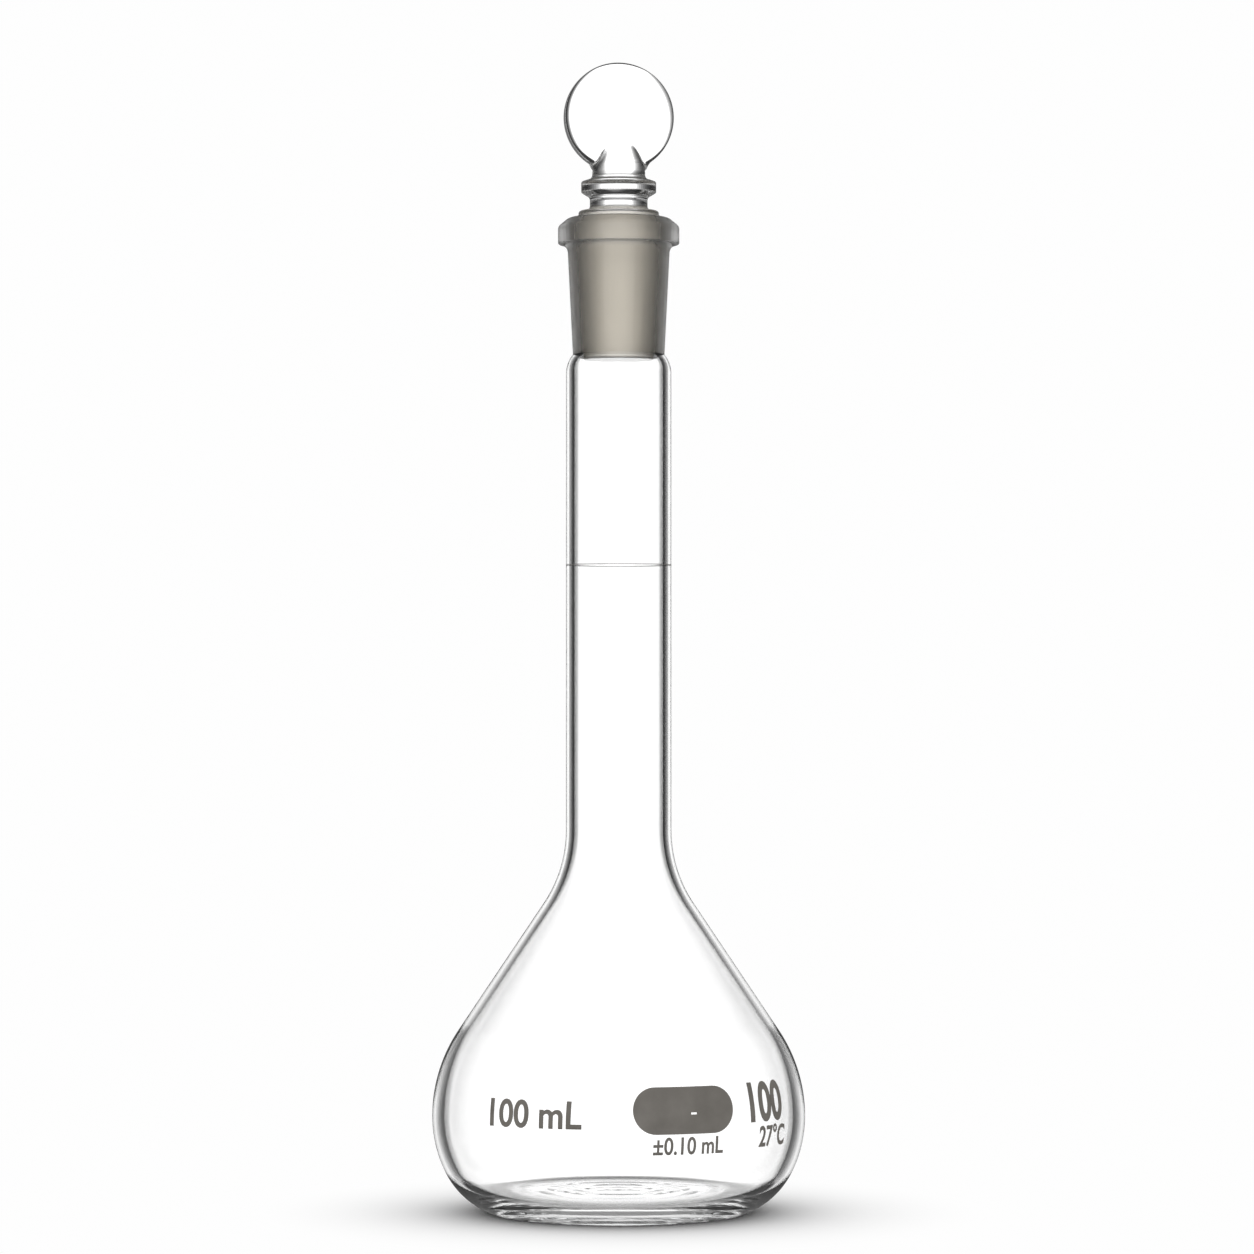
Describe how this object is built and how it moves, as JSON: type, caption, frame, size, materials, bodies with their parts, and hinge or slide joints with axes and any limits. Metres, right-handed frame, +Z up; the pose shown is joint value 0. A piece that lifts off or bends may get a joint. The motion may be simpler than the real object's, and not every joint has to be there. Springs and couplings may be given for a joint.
{
  "type": "volumetric flask",
  "caption": "Pear-shaped glass volumetric flask with a long neck, graduation line, ground taper mouth and flat-headed glass stopper that lifts out.",
  "frame": {"origin": "centre of the ring the flask stands on, at the table", "axes": "+Z up along the neck, -Y towards the front, where the stopper's head is seen nearly face on (9 degrees off), +X to the right"},
  "size_m": [0.0624, 0.0624, 0.193],
  "materials": {
    "clear_glass": "clear borosilicate glass, fire polished",
    "ground_glass": "borosilicate glass, ground inside the taper",
    "stopper_glass": "pressed clear glass, ground on the plug",
    "fired_enamel": "warm grey enamel fired into the glass, matt"
  },
  "bodies": {
    "flask": {"flask_body": "clear_glass", "ground_socket": "ground_glass", "graduation_ring": "fired_enamel", "marking_patch": "fired_enamel"},
    "stopper": {"stopper": "stopper_glass"}
  },
  "joints": [
    {"name": "stopper_lift", "type": "slide", "parent": "flask", "child": "stopper", "axis": [0, 0, 1], "range_m": [0, 0.05]}
  ]
}
